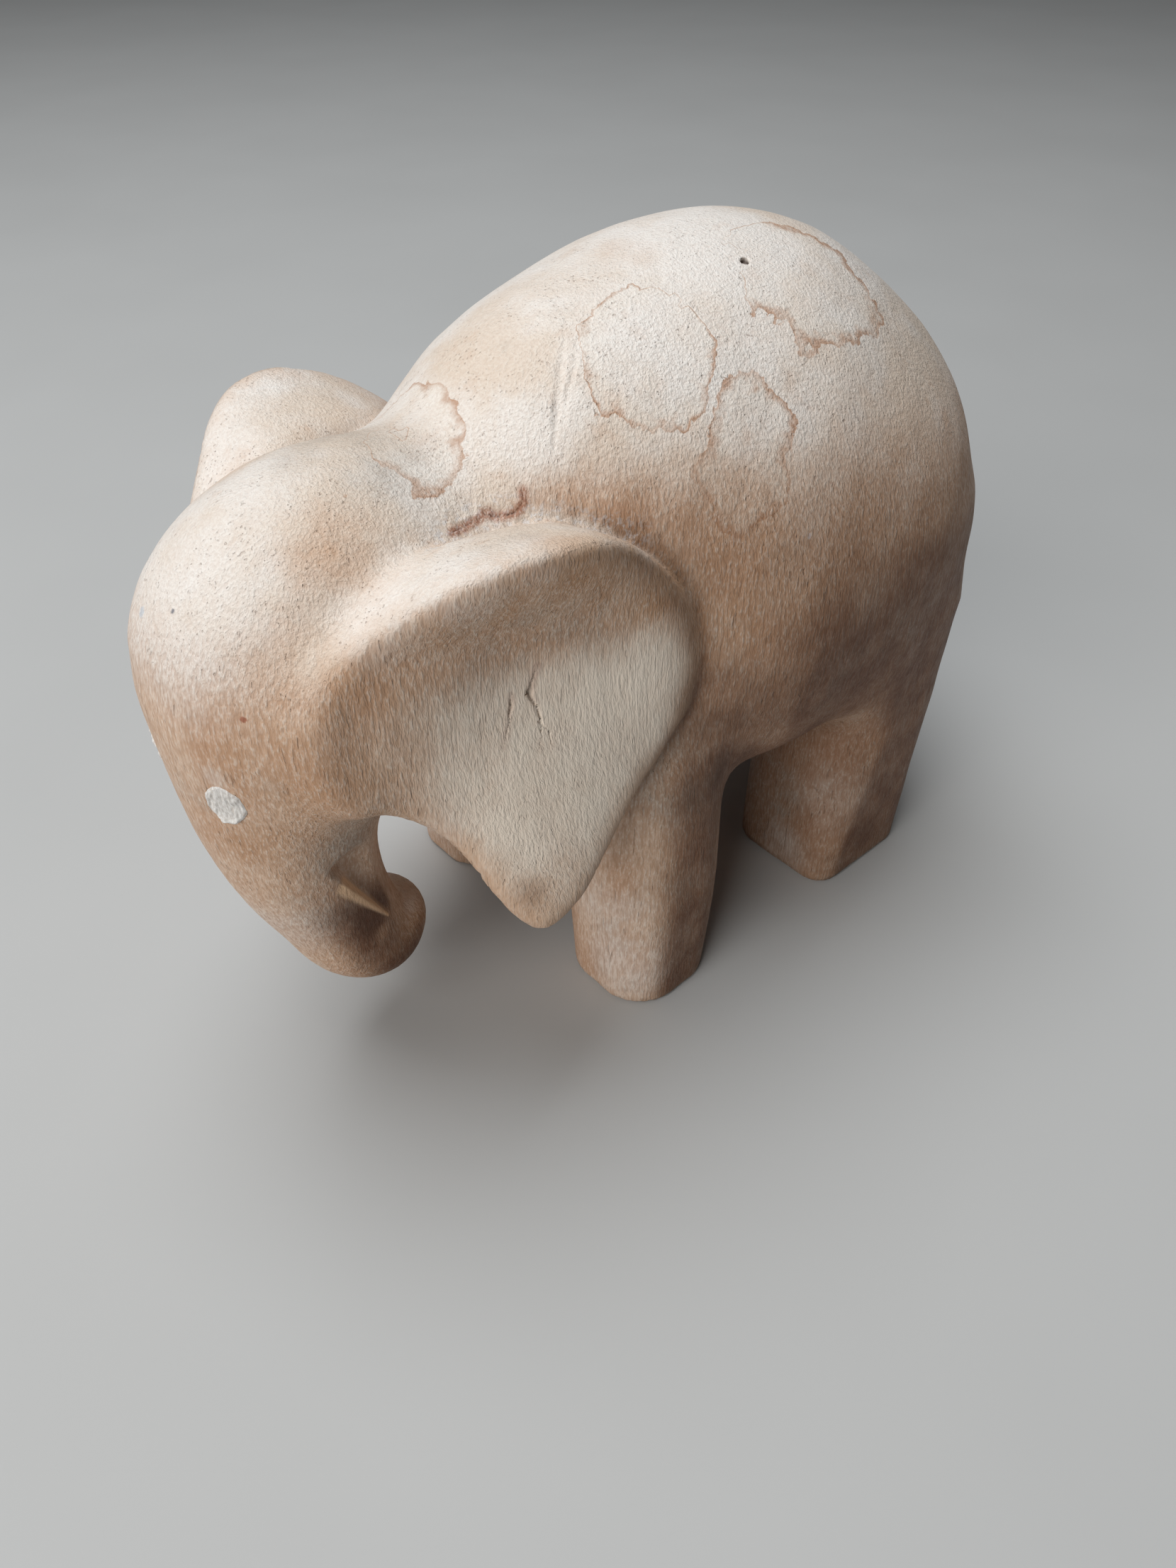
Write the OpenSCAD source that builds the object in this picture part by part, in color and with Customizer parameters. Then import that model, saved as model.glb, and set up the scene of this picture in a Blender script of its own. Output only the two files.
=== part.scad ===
// Carved wooden elephant: one carved block with the broken-off stubs of two tusk pegs.
// Millimetres, +Z up, standing on z = 0. The nose points to -X and the left side is -Y.

/* [Body] */
// Height of the back above the ground
back_height = 79; // [76:0.5:82]
// Half of the width across the rump
rump_half_width = 27; // [24:0.5:29]
// Half of the width across the shoulders
shoulder_half_width = 21; // [19:0.5:23]
// Half of the length of the rump mass
rump_half_length = 29.5; // [28:0.5:30.5]
// Height of the sawn arch under the belly
belly_height = 27.5; // [26:0.5:29]

/* [Head and trunk] */
// Half of the width across the head
head_half_width = 15; // [13:0.5:16]
// Height of the middle of the head
head_height = 53; // [51:0.5:55]
// Radius of the trunk below the face
trunk_root_radius = 10.2; // [9:0.1:11]
// Radius of the rounded trunk tip
trunk_tip_radius = 5; // [4.5:0.1:5.5]

/* [Ears] */
// How much further out than drawn the ears flare
ear_flare = 0; // [-1:0.1:1]
// Half of the thickness of an ear at its edge
ear_half_thickness = 1.8; // [1.5:0.1:2.2]

/* [Legs] */
// Radius of a front foot
front_foot_radius = 7.9; // [7:0.1:8.5]
// Half of the length of a rear foot
rear_foot_half_length = 9.1; // [8.5:0.1:9.5]
// Half of the width of a rear foot
rear_foot_half_width = 7.9; // [7.4:0.1:8.4]
// Corner radius of a rear foot
rear_foot_corner = 4.4; // [3.5:0.1:5.5]
// Distance from the middle plane to the axis of a front leg
front_half_track = 15.6; // [15:0.1:16.5]
// Distance from the middle plane to the axis of a rear leg
rear_half_track = 16.5; // [16:0.1:17.5]
// Distance between the front and the rear leg axes
wheelbase = 34.6; // [33.5:0.1:35.5]
// Edge break round a sole
sole_chamfer = 1; // [0.4:0.1:1.4]

/* [Tusk stubs] */
// Radius of a tusk peg
peg_radius = 1.65; // [1.4:0.05:2]
// Depth of a peg in the trunk
peg_depth = 5; // [4:0.1:6]
// Thickness of the glue line round a peg
glue_gap = 0.05; // [0.03:0.01:0.1]

/* [Hidden] */
wood = [0.80, 0.68, 0.53];
pale = [0.93, 0.90, 0.84];
round_fn = 36;
small_fn = 16;
front_x = -5.5;
rear_x = front_x + wheelbase;

rump_bottom = 14.5;
rump_half_height = (back_height - rump_bottom) / 2;
rump_z = (back_height + rump_bottom) / 2;

// [centre, radii] of the egg shapes that the body, neck and head are stretched between
rump = [[19.8, 0, rump_z], [rump_half_length, rump_half_width, rump_half_height]];
loin = [[8, 0, rump_z], [27, rump_half_width - 2.5, rump_half_height - 1.5]];
shoulder = [[-3, 0, 48], [25.5, shoulder_half_width, 27]];
neck = [[-17, 0, 52.5], [18, shoulder_half_width - 3.5, 18.8]];
head = [[-30.5, 0, head_height], [18.3, head_half_width, 16.7]];
front_hip = [[front_x + 0.5, front_half_track - 3.6, 42], [10, 9.5, 10]];
rear_hip = [[rear_x, rear_half_track - 4.5, 40], [14, 13.5, 13]];

// [x, z, radius] down the middle of the trunk, curling back under the head
trunk = [
    [-36.5, 53, 12.5],
    [-39.2, 43.5, trunk_root_radius],
    [-39.7, 36, 8.7],
    [-39.4, 30, 7.7],
    [-38.2, 24, 6.7],
    [-36.6, 18.8, 6.1],
    [-34.6, 15.2, 5.7],
    [-32.3, 12.9, trunk_tip_radius],
    [-31.2, 13.4, trunk_tip_radius - 0.5],
];

// [x, y, z] round an ear's edge, from the top of the cheek back, down and forward again
ear_edge = [
    [-36.5, 12.5, 61.5], [-33, 16, 64], [-29.5, 18.5, 66], [-25, 20, 66.5], [-20.5, 20.5, 66],
    [-16.5, 20.5, 64], [-13, 20, 62], [-10.5, 20, 59], [-8.5, 19.5, 55.5], [-7, 19, 51.5],
    [-6.5, 19, 47], [-8.5, 19, 43], [-13.5, 20.5, 39], [-20, 22, 34], [-24, 23, 31.5],
    [-27.5, 23, 30.5], [-29, 21.5, 33.5], [-31, 19.5, 38], [-33.5, 17, 42], [-36.5, 14, 45],
];
// The deepest spot of the scoop in the ear's face
ear_scoop = [-24.5, 15.4, 54];
// The broad top of the ear runs in to the neck along this many of the first edge points
ear_top_count = 10;
ear_top_in = 9;
ear_top_drop = 2.5;

// A tusk socket points out of the trunk from [x, z], turned away from straight ahead
peg_from = [-38.6, 45.6];
peg_turn = 33;
trunk_skin = 10.7;
peg_stand_out = 0.4;

module egg(e) {
    translate(e[0]) scale(e[1]) sphere(1, $fn = round_fn);
}

// The barrel of the body, sawn off flat underneath
module torso() {
    difference() {
        union() {
            hull() { egg(rump); egg(loin); }
            hull() { egg(loin); egg(shoulder); }
            hull() { egg(shoulder); egg(neck); }
        }
        translate([-60, -40, -10]) cube([120, 80, belly_height + 10]);
    }
    hull() { egg(neck); egg(head); }
}

module trunk_bead(t) {
    translate([t[0], 0, t[1]]) sphere(t[2], $fn = round_fn);
}

module trunk_curl() {
    for (i = [0 : len(trunk) - 2])
        hull() { trunk_bead(trunk[i]); trunk_bead(trunk[i + 1]); }
}

module ear_bead(e) {
    translate([e[0], e[1] + ear_flare, e[2]]) sphere(ear_half_thickness, $fn = small_fn);
}

function inward(e) = [e[0], max(10, e[1] - ear_top_in), e[2] - ear_top_drop];

// The ear is a dish: a fan of panels round the scoop, thick along the top where it meets the neck
module ear() {
    edges = len(ear_edge);
    for (i = [0 : edges - 1])
        hull() {
            ear_bead(ear_scoop);
            ear_bead(ear_edge[i]);
            ear_bead(ear_edge[(i + 1) % edges]);
        }
    for (i = [0 : ear_top_count - 2])
        hull() {
            ear_bead(ear_scoop);
            ear_bead(ear_edge[i]);
            ear_bead(ear_edge[i + 1]);
            ear_bead(inward(ear_edge[i]));
            ear_bead(inward(ear_edge[i + 1]));
        }
}

module foot_plan(half_length, half_width, corner) {
    offset(corner, $fn = round_fn) square([half_length - corner, half_width - corner] * 2, center = true);
}

// A leg stands on a flat sole with a broken edge and runs up into the egg of its hip
module leg(x, y, half_length, half_width, corner, hip) {
    hull() {
        translate([x, y, 0]) {
            linear_extrude(0.01)
                foot_plan(half_length - sole_chamfer, half_width - sole_chamfer, corner - sole_chamfer);
            translate([0, 0, sole_chamfer]) linear_extrude(10) foot_plan(half_length, half_width, corner);
        }
        egg(hip);
    }
}

module right_side() {
    ear();
    leg(front_x, front_half_track, front_foot_radius, front_foot_radius, front_foot_radius - 1.5, front_hip);
    leg(rear_x, rear_half_track, rear_foot_half_length, rear_foot_half_width, rear_foot_corner, rear_hip);
}

module at_peg(side) {
    translate([peg_from[0], 0, peg_from[1]])
        rotate([0, 0, 180 - side * peg_turn]) rotate([0, 90, 0])
            translate([0, 0, trunk_skin]) children();
}

module carved_elephant() {
    color(wood)
    difference() {
        union() {
            torso();
            trunk_curl();
            right_side();
            mirror([0, 1, 0]) right_side();
        }
        for (side = [-1, 1])
            at_peg(side)
                translate([0, 0, -peg_depth]) cylinder(h = peg_depth + 4, r = peg_radius + glue_gap, $fn = 32);
    }
}

module tusk_stub(side) {
    color(pale) at_peg(side)
        translate([0, 0, glue_gap - peg_depth])
            cylinder(h = peg_depth - glue_gap + peg_stand_out, r = peg_radius, $fn = 32);
}

module tusk_stub_left() tusk_stub(-1);
module tusk_stub_right() tusk_stub(1);

carved_elephant();
tusk_stub_left();
tusk_stub_right();
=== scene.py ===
import math

import bmesh
import bpy
import numpy as np
import openvdb
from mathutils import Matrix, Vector


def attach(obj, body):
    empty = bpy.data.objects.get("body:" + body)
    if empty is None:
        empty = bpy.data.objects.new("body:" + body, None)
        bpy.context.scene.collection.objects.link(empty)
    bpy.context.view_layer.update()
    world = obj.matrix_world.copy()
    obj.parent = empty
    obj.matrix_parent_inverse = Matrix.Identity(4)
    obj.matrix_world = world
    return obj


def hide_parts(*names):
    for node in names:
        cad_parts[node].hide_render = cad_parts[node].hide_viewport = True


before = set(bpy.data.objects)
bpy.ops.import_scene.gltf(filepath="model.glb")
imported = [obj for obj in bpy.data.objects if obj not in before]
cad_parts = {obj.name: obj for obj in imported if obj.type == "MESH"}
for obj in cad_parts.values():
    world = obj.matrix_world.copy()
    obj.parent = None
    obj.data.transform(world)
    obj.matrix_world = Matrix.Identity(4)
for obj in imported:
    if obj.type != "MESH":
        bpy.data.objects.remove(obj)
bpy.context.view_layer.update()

MM = 0.001


# ---------------------------------------------------------------- solid shapes
# The carving is worked out as a distance field in millimetres, in the row frame:
# nose towards -X, left side towards -Y, soles on z = 0. field(p) is below zero in the wood.

def ellipsoid(p, centre, radii):
    q, r = p - np.array(centre, float), np.array(radii, float)
    k0 = np.linalg.norm(q / r, axis=1)
    k1 = np.linalg.norm(q / r ** 2, axis=1) + 1e-9
    return k0 * (k0 - 1) / k1


def blend(a, b, k):
    h = np.maximum(k - np.abs(a - b), 0) / k
    return np.minimum(a, b) - h ** 3 * k / 6


def meet(a, b, k):
    return -blend(-a, -b, k)


def ramp(v, a, b):
    t = np.clip((v - a) / (b - a), 0, 1)
    return t * t * (3 - 2 * t)


def limb(p, beads, k):
    """A tapering limb strung on beads (x, y, z, radius)."""
    d = None
    for a, b in zip(beads[:-1], beads[1:]):
        A, B = np.array(a[:3], float), np.array(b[:3], float)
        q, ab = p - A, B - A
        t = np.clip(q @ ab / (ab @ ab), 0, 1)
        s = np.linalg.norm(q - t[:, None] * ab, axis=1) - (a[3] + (b[3] - a[3]) * t)
        d = s if d is None else blend(d, s, k)
    return d


def rounded(points, n=4):
    """A closed outline on a smooth run through the points."""
    P, out = np.array(points, float), []
    for i in range(len(P)):
        a, b, c, d = P[i - 1], P[i], P[(i + 1) % len(P)], P[(i + 2) % len(P)]
        for j in range(n):
            t = j / n
            out.append(0.5 * (2 * b + (c - a) * t + (2 * a - 5 * b + 4 * c - d) * t * t
                              + (3 * b - a - 3 * c + d) * t ** 3))
    return np.array(out)


def eased(beads, n=5):
    """The same beads with more in between, on one smooth run."""
    B = np.array([beads[0]] + list(beads) + [beads[-1]], float)
    out = []
    for i in range(1, len(B) - 2):
        a, b, c, d = B[i - 1:i + 3]
        for t in np.arange(n) / n:
            out.append(0.5 * (2 * b + (c - a) * t + (2 * a - 5 * b + 4 * c - d) * t * t
                              + (3 * b - a - 3 * c + d) * t ** 3))
    return [tuple(v) for v in out] + [tuple(B[-1])]


def column(p, stations):
    """A leg: stations are (z, centre x, centre y, half x, half y, corner radius), foot first."""
    S = np.array(stations, float)
    cx, cy, hx, hy, r = [np.interp(p[:, 2], S[:, 0], S[:, i]) for i in range(1, 6)]
    qx, qy = np.abs(p[:, 0] - cx) - hx + r, np.abs(p[:, 1] - cy) - hy + r
    side = np.hypot(np.maximum(qx, 0), np.maximum(qy, 0)) + np.minimum(np.maximum(qx, qy), 0) - r
    return meet(side * 0.96, p[:, 2] - S[-1, 0], 4)


def outline(x, z, P):
    """Distance to a closed outline in the X-Z plane, below zero inside it."""
    d, inside = np.full(x.shape, 1e9), np.zeros(x.shape, bool)
    for a, b in zip(P, np.roll(P, -1, axis=0)):
        e, wx, wz = b - a, x - a[0], z - a[1]
        t = np.clip((wx * e[0] + wz * e[1]) / (e @ e), 0, 1)
        d = np.minimum(d, (wx - e[0] * t) ** 2 + (wz - e[1] * t) ** 2)
        if a[1] != b[1]:
            inside ^= ((a[1] > z) != (b[1] > z)) & (x < e[0] * (z - a[1]) / e[1] + a[0])
    return np.where(inside, -1, 1) * np.sqrt(d)


def lattice(ix, iy, iz, seed):
    n = (ix * 374761393 + iy * 668265263 + iz * 2147483647 + seed * 974711) & 0xFFFFFFFF
    n = ((n ^ (n >> 13)) * 1274126177) & 0xFFFFFFFF
    return ((n ^ (n >> 16)) & 0xFFFF) / 32767.5 - 1


def noise(p, size, seed):
    """Smooth noise from -1 to 1, with bumps about size millimetres across."""
    q = p / np.array(size, float)
    i = np.floor(q).astype(np.int64)
    f = q - i
    f = f * f * f * (f * (6 * f - 15) + 10)
    out = np.zeros(len(p))
    for a in (0, 1):
        for b in (0, 1):
            for c in (0, 1):
                w = np.abs(f - (1 - a, 1 - b, 1 - c)).prod(1)
                out += w * lattice(i[:, 0] + a, i[:, 1] + b, i[:, 2] + c, seed)
    return out


# ---------------------------------------------------------------- ears
EAR_HOLLOW, EAR_HOLLOW_REACH = 1.6, 13.0      # the soft hollow in the body just behind an ear
RIGHT_EAR_UP = 0.8
# Outline of an ear seen from the side, (x, z), and how far its outer face stands out from the
# middle plane on an 8 mm net of (x, z) points: a scoop under a broad rim, flaring out at the tip.
EAR_EDGE = rounded([
    (-42, 50), (-41.5, 57), (-39.4, 62.2), (-35.2, 65.6), (-30.3, 67.7), (-25.5, 68.3), (-20.5, 67.6),
    (-16, 65.9), (-12.2, 63.2), (-9.2, 60), (-6.8, 56.4), (-5.0, 52), (-4.6, 47), (-6.6, 41.5), (-13, 36.4),
    (-19.5, 31.6), (-24, 28.9), (-27.8, 28.2), (-30.4, 31.6), (-32.2, 37), (-34.4, 41), (-37.2, 43.8),
    (-40, 45)])
NET_X, NET_Z, NET = -40.0, 26.0, 8.0
EAR_FACE = np.array([
    [20.0, 25.0, 27.0, 26.0, 24.0, 22.0],
    [17.0, 21.5, 24.0, 23.8, 22.8, 22.0],
    [14.5, 17.5, 20.3, 21.4, 22.1, 21.8],
    [12.8, 15.3, 17.6, 19.8, 21.9, 21.8],
    [13.2, 15.4, 17.6, 19.8, 21.9, 21.8],
    [17.0, 20.8, 22.8, 22.8, 22.0, 21.0],
    [14.5, 21.5, 24.5, 24.5, 23.0, 21.5]])


def spline_weights(t):
    return np.stack([(1 - t) ** 3, 3 * t ** 3 - 6 * t ** 2 + 4,
                     -3 * t ** 3 + 3 * t ** 2 + 3 * t + 1, t ** 3], 0) / 6


def ear_face(x, z):
    rows, cols = EAR_FACE.shape
    u = np.clip((x - NET_X) / NET, 0, cols - 1.001)
    v = np.clip((z - NET_Z) / NET, 0, rows - 1.001)
    i, j = u.astype(int), v.astype(int)
    wu, wv = spline_weights(u - i), spline_weights(v - j)
    out = np.zeros(x.shape)
    for a in range(4):
        for b in range(4):
            out += wv[b] * wu[a] * EAR_FACE[np.clip(j + b - 1, 0, rows - 1), np.clip(i + a - 1, 0, cols - 1)]
    return out


def ear(p):
    x, y, z = p.T
    face = ear_face(x, z)
    back = face - 3.0 - 7.5 * ramp(z, 50, 66)
    edge = outline(x, z - 0.25 * (y - 22) * ramp(z, 52, 64), EAR_EDGE)
    return meet(edge, meet(y - face, back - y, 1.0), 4.4)


# ---------------------------------------------------------------- the carved block
# The egg-shaped masses, each a centre and radii, and the sawn height of the belly
RUMP = (16.8, 0, 46.7), (30.4, 26.8, 32.5)
HAUNCH = (24.0, 0, 49.5), (24.6, 26.6, 24.0)
CHEST = (-2.2, 0, 48.0), (26, 20.8, 27.8)
HEAD = (-30.5, 0, 53.2), (18.3, 14.8, 16.8)
BELLY_HEIGHT = 27.5
# The trunk is a run of beads (x, y, z, radius); the legs are the stations that column() takes
TRUNK = eased([(-36.5, 0, 53, 12.5), (-39.2, 0, 43.5, 10.2), (-39.5, 0, 31, 7.8), (-37.4, 0, 21.4, 6.4),
               (-35.2, 0, 15.4, 5.8), (-33.0, 0, 13.0, 5.2), (-31.5, 0, 14.2, 4.6)])
FRONT_LEG = [(-2, -5.7, 15.5, 7.1, 7.2, 5.6), (6, -5.6, 15.5, 7.5, 7.5, 5.9), (16, -5.4, 15.3, 8.0, 8.1, 6.8),
             (28, -5.2, 14.2, 8.7, 8.8, 8.0), (40, -5.0, 12.0, 10.5, 9.5, 9.0), (50, -5.0, 10, 11, 9, 8)]
REAR_LEG = [(-2, 28.2, 16.1, 8.7, 8.0, 3.4), (5, 28.4, 16.2, 8.9, 8.1, 3.8), (14, 29.2, 15.9, 9.5, 8.7, 5.6),
            (24, 30.6, 14.8, 10.8, 10.2, 8.5), (38, 29.0, 12.0, 14.0, 13.5, 11.0),
            (50, 27.0, 10.0, 15.0, 13.5, 12.0)]


def plain(p):
    """The carving without its knife marks and damage. The right ear sits a little higher than the left."""
    right = p[:, 1] > 0
    p = p.copy()
    p[:, 1] = np.abs(p[:, 1])
    x, y, z = p.T
    d = ellipsoid(p, *RUMP)
    d = blend(d, ellipsoid(p, *HAUNCH), 4)
    d = blend(d, ellipsoid(p, *CHEST), 16)
    d = meet(d, BELLY_HEIGHT + 0.004 * y * y - z, 3)
    d = blend(d, ellipsoid(p, *HEAD), 9)
    d = blend(d, limb(p, TRUNK, 0.6), 6)
    d = blend(d, column(p, FRONT_LEG), 5)
    d = blend(d, column(p, REAR_LEG), 8)
    d = meet(d, -z, 1.0)
    near = np.flatnonzero((x > -54) & (x < 10) & (y < 34) & (z > 18) & (z < 78))
    if len(near):
        past = outline(x[near], z[near], EAR_EDGE)
        behind = ramp(x[near], -24, -15) * ramp(y[near], 8, 14)
        behind *= ramp(z[near], 31, 40) * ramp(z[near], 70, 60)
        fall = np.clip(1 - past / EAR_HOLLOW_REACH, 0, 1) ** 2 * ramp(past, -6, -1)
        d[near] += EAR_HOLLOW * behind * fall
        lean = right[near] * (0.3 + 2.2 * ramp(x[near], -27, -38))
        e = ear(p[near] - np.stack([lean, 0 * lean, RIGHT_EAR_UP * right[near]], 1)) * 0.9
        k = 1.8 + 6.3 * ramp(z[near], 66, 54) * ramp(x[near], -18, -33)
        d[near] = blend(d[near], e, k)
    return d


# The flat knife cut behind the left side of the trunk, the pale ledge where the knife stopped,
# and the hollow below the ledge
LEDGE_WIDE, LEDGE_POINT, LEDGE_UP = (-39.1, -7.8, 30.2), (-33.9, -5.6, 20.3), (0.808, -0.497, 0.314)
KNIFE_CUT = [(-38.0, -11.6, 31.5, 5.0), (-33.2, -10.2, 21.5, 5.0)]
KNIFE_HOLLOW = [(-39.6, -10.6, 28.2, 2.6), (-34.8, -8.4, 19.8, 2.6)]
LEDGE_THICK = 0.35
KNIFE_PLACE, KNIFE_REACH = (-36, -8, 27), (9, 7, 12)

# Cuts and splits: points (x, y, z, half width, depth) near the surface, which they are moved onto
GOUGES = [
    [(-6.9, -4.7, 74.9, 0.12, 0.03), (-8.4, -5.9, 73.8, 0.4, 0.11), (-10.6, -7.8, 71.9, 0.45, 0.14),
     (-12.6, -9.6, 69.6, 0.4, 0.15), (-13.9, -10.7, 67.9, 0.08, 0.04)],
    [(-6.4, -5.6, 74.6, 0.08, 0.03), (-8.2, -7.2, 73.2, 0.3, 0.08), (-10.4, -8.6, 71.5, 0.32, 0.1),
     (-12.2, -10.0, 69.6, 0.08, 0.03)]]
CRACKS = [
    [(-25.1, -17.5, 52.0, 0.13, 0.28), (-25.2, -17.6, 50.9, 0.25, 0.52), (-25.5, -17.6, 50.0, 0.15, 0.36),
     (-25.8, -17.7, 49.0, 0.1, 0.24), (-26.4, -17.9, 47.3, 0.05, 0.1)],
    [(-22.5, -18.1, 54.3, 0.07, 0.12), (-23.0, -17.9, 52.9, 0.18, 0.32), (-23.3, -18.0, 51.4, 0.26, 0.5),
     (-22.8, -18.2, 50.0, 0.15, 0.32), (-22.6, -18.5, 48.4, 0.15, 0.36), (-22.9, -18.8, 47.0, 0.13, 0.28),
     (-23.3, -18.9, 45.8, 0.05, 0.1)],
    [(-22.9, -18.4, 48.6, 0.08, 0.2), (-22.1, -18.9, 47.4, 0.1, 0.22), (-22.1, -19.2, 45.9, 0.04, 0.1)],
    [(-20.9, -9.7, 65.0, 0.08, 0.16), (-20.0, -10.3, 64.6, 0.14, 0.32), (-19.2, -10.7, 64.6, 0.1, 0.28),
     (-18.4, -11.0, 64.7, 0.15, 0.36), (-17.5, -10.9, 65.3, 0.08, 0.24), (-17.1, -10.4, 66.0, 0.04, 0.08)],
    [(-24.6, -10.2, 64.9, 0.04, 0.12), (-22.8, -10.0, 64.8, 0.07, 0.16), (-21.2, -9.9, 64.9, 0.04, 0.12)]]
SCRATCHES = [
    [(-12.0, -16.2, 62.6, 0.05, 0.1), (-9.6, -18.0, 61.2, 0.09, 0.15), (-7.4, -19.0, 58.8, 0.05, 0.1)],
    [(2.0, -22.3, 57.6, 0.06, 0.08), (4.0, -22.9, 56.4, 0.06, 0.1), (6.2, -23.6, 54.6, 0.05, 0.08)],
    [(20.3, -19.0, 17.0, 0.1, 0.1), (20.6, -21.5, 14.0, 0.2, 0.25), (21.0, -23.0, 12.2, 0.08, 0.1)],
    [(20.2, -22.2, 17.5, 0.1, 0.1), (20.8, -22.9, 15.0, 0.16, 0.2), (21.6, -23.6, 13.6, 0.06, 0.1)]]
# The row of small notches on top of the neck by the right ear
NOTCHES = [[(x, 8.6, 66.4, 0.1, 0.05), (x + 0.3, 10.2, 65.6, 0.22, 0.3), (x + 0.7, 11.8, 65.8, 0.08, 0.05)]
           for x in (-28.4, -27.0, -25.9, -24.3, -23.2)]
WORM_HOLE, WORM_WAY = (12.5, -7.8, 77.8), (-0.16, -0.33, 0.93)
WORM_RADIUS, WORM_DEPTH = 0.45, 2.2
KNOT = (-23.3, -17.9, 51.9, 0.42)             # x, y, z and radius, as for the chips below
# The rough line in the fold where the left ear leaves the neck
CREASE = [(-27.5, -12.0, 64.8), (-24.0, -9.8, 65.0), (-20.9, -9.7, 65.0), (-18.4, -11.0, 64.6),
          (-16.7, -12.5, 64.2), (-12.5, -15.4, 63.1), (-9.8, -17.4, 61.7)]
CHIPS = [(-30.9, -21.4, 34.6, 0.7), (-32.6, -19.2, 38.6, 0.6), (-28.8, -24.6, 30.6, 0.7),
         (-8.2, 22.9, 41.6, 0.7), (-31.8, 20.4, 36.6, 0.7), (-16.0, 23.0, 35.0, 0.6)]

# The broken-off tusk pegs: where their axis starts in the trunk, and how far it turns from straight ahead
PEG_FROM, PEG_TURN, PEG_RADIUS, PEG_DEPTH = (-38.6, 0.0, 45.6), 33.0, 1.65, 5.0
PEG_SKIN, PEG_TALL = 10.7, 1.14
# The socket in the wood, the shank in it and the torn cap over it, as shares of the peg's radius
SOCKET, SHANK, CAP = 0.97, 0.955, 1.16


def peg_axis(side):
    turn = math.radians(PEG_TURN)
    return np.array([-math.cos(turn), side * math.sin(turn), 0.0])


def shape(p):
    """The plain carving with the knife cut behind the trunk."""
    d = plain(p)
    near = np.flatnonzero((np.abs(p - KNIFE_PLACE) < KNIFE_REACH).all(1))
    if len(near):
        q = p[near]
        above = (q - LEDGE_WIDE) @ np.array(LEDGE_UP)
        cut = meet(limb(q, KNIFE_CUT, 0.1), -above, 0.1)
        hollow = meet(limb(q, KNIFE_HOLLOW, 0.1), above + LEDGE_THICK, 0.3)
        d[near] = meet(meet(d[near], -hollow, 0.8), -cut, 0.12)
    return d


def to_path(p, path):
    """Distance from points to a line through the given points."""
    best = np.full(len(p), 1e9)
    for a, b in zip(path[:-1], path[1:]):
        A, B = np.array(a[:3], float), np.array(b[:3], float)
        t = np.clip((p - A) @ (B - A) / max((B - A) @ (B - A), 1e-9), 0, 1)
        best = np.minimum(best, np.linalg.norm(p - A - t[:, None] * (B - A), axis=1))
    return best


def surface(p):
    """The carving with its knife facets and rough patches, before the damage."""
    d = shape(p) + 0.15 * noise(p, (8, 8, 12), 3) + 0.05 * noise(p, (2.6, 2.6, 4), 4)
    near = np.flatnonzero((p[:, 2] > 58) & (p[:, 1] < -6) & (p[:, 0] > -31) & (p[:, 0] < -6))
    if len(near):
        rough = 1 - ramp(to_path(p[near], CREASE), 0.5, 2.2)
        d[near] += rough * (0.07 * noise(p[near], (0.9,) * 3, 9) + 0.04 * noise(p[near], (0.4,) * 3, 10))
    return meet(d, -p[:, 2], 0.1)


def slope(f, p, h=0.08):
    """Which way f rises, and how fast, at each point."""
    return np.stack([f(p + h * a) - f(p - h * a) for a in np.eye(3)], -1) / (2 * h)


def onto(f, p, rounds=3):
    """Points near the surface where f is zero, moved onto it."""
    for _ in range(rounds):
        g = slope(f, p)
        p = p - np.clip(f(p), -0.5, 0.5)[:, None] * g / np.maximum((g * g).sum(1), 0.2)[:, None]
    return p


def settled(marks):
    """Each mark's points moved onto the surface, with the outward direction at each."""
    out = []
    for path in marks:
        P = np.array(path, float)
        P[:, :3] = onto(surface, P[:, :3], 8)
        n = slope(surface, P[:, :3], 0.3)
        out.append((P, n / np.linalg.norm(n, axis=1)[:, None]))
    return out


MARKS = settled(GOUGES + CRACKS + SCRATCHES + NOTCHES)


def incised(p, P, N):
    """Below zero inside a V-shaped cut along the points P, whose outward directions are N."""
    best = np.full(len(p), 1e9)
    for i in range(len(P) - 1):
        A, ab = P[i, :3], P[i + 1, :3] - P[i, :3]
        t = np.clip((p - A) @ ab / (ab @ ab), 0, 1)[:, None]
        width, depth = (P[i, 3:] + t * (P[i + 1, 3:] - P[i, 3:])).T
        v = p - A - t * ab
        high = (v * (N[i] + t * (N[i + 1] - N[i]))).sum(1)
        aside = np.sqrt(np.maximum((v * v).sum(1) - high ** 2, 0))
        best = np.minimum(best, aside - width * np.clip(1 + high / depth, -4, 1))
    return best


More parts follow.
